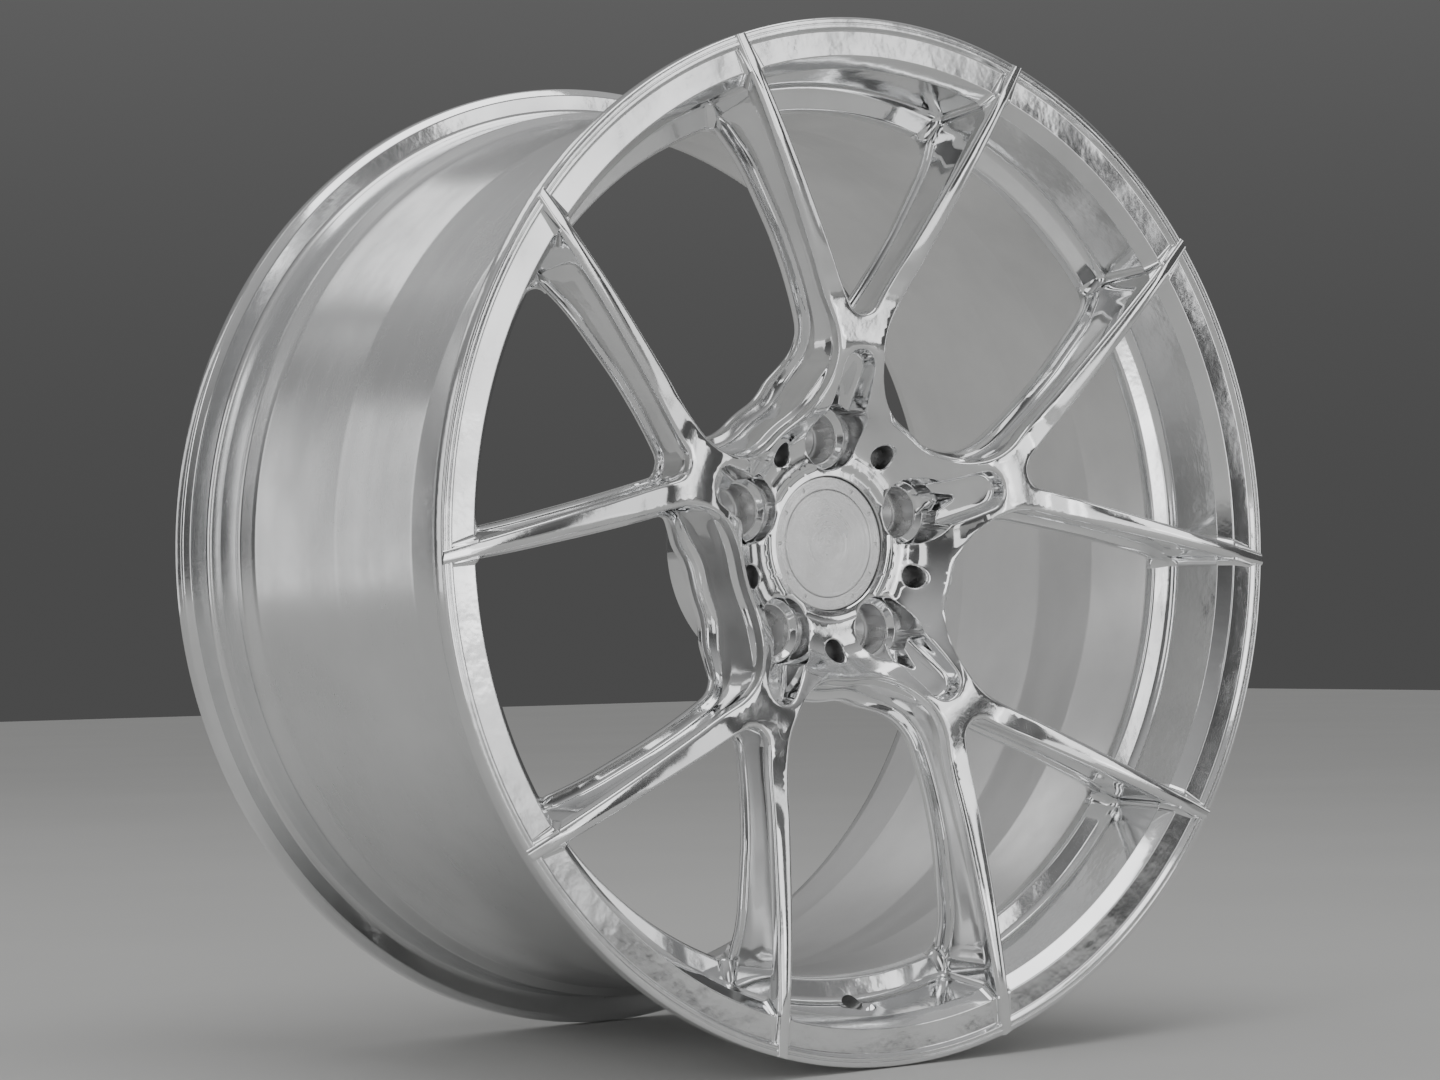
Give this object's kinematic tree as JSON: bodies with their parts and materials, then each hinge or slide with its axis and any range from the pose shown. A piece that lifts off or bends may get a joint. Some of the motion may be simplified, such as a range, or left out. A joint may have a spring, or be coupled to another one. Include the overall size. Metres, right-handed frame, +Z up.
{
  "type": "forged wheel rim",
  "caption": "Forged car wheel with Y-shaped arms that split into slim spokes, a sunk polished lip, a drop-centre barrel and a centre cap that pulls out.",
  "frame": {"origin": "middle of the rim, on its axis, halfway between the two flanges", "axes": "+Y along the wheel's axis towards the vehicle, so the face looks to -Y; +Z up, through the middle of arm 1; the valve hole is at the bottom"},
  "size_m": [0.5473, 0.2782, 0.5474],
  "materials": {
    "polished_face": "mirror polished",
    "turned_barrel": "satin inside, polished outside",
    "cap_metal": "brushed",
    "clip_plastic": "moulded",
    "spring_steel": "drawn wire",
    "seal_rubber": "moulded"
  },
  "bodies": {
    "wheel": {"outer_flange": "polished_face", "outer_seat": "polished_face", "lip_ledge": "polished_face", "valve_segment": "polished_face", "well": "turned_barrel", "barrel_ramp": "turned_barrel", "barrel": "turned_barrel", "inner_seat": "turned_barrel", "inner_flange": "turned_barrel", "hub": "polished_face", "y_arm_1": "polished_face", "y_arm_2": "polished_face", "y_arm_3": "polished_face", "y_arm_4": "polished_face", "y_arm_5": "polished_face", "spoke_1": "polished_face", "spoke_2": "polished_face", "spoke_3": "polished_face", "spoke_4": "polished_face", "spoke_5": "polished_face", "spoke_6": "polished_face", "spoke_7": "polished_face", "spoke_8": "polished_face", "spoke_9": "polished_face", "spoke_10": "polished_face"},
    "cap": {"cap_plate": "cap_metal", "cap_ring": "cap_metal", "cap_clip": "clip_plastic", "cap_spring_wire": "spring_steel", "cap_seal": "seal_rubber"}
  },
  "joints": [
    {"name": "cap_pull", "type": "slide", "parent": "wheel", "child": "cap", "axis": [0, -1, 0], "range_m": [0, 0.04]}
  ]
}
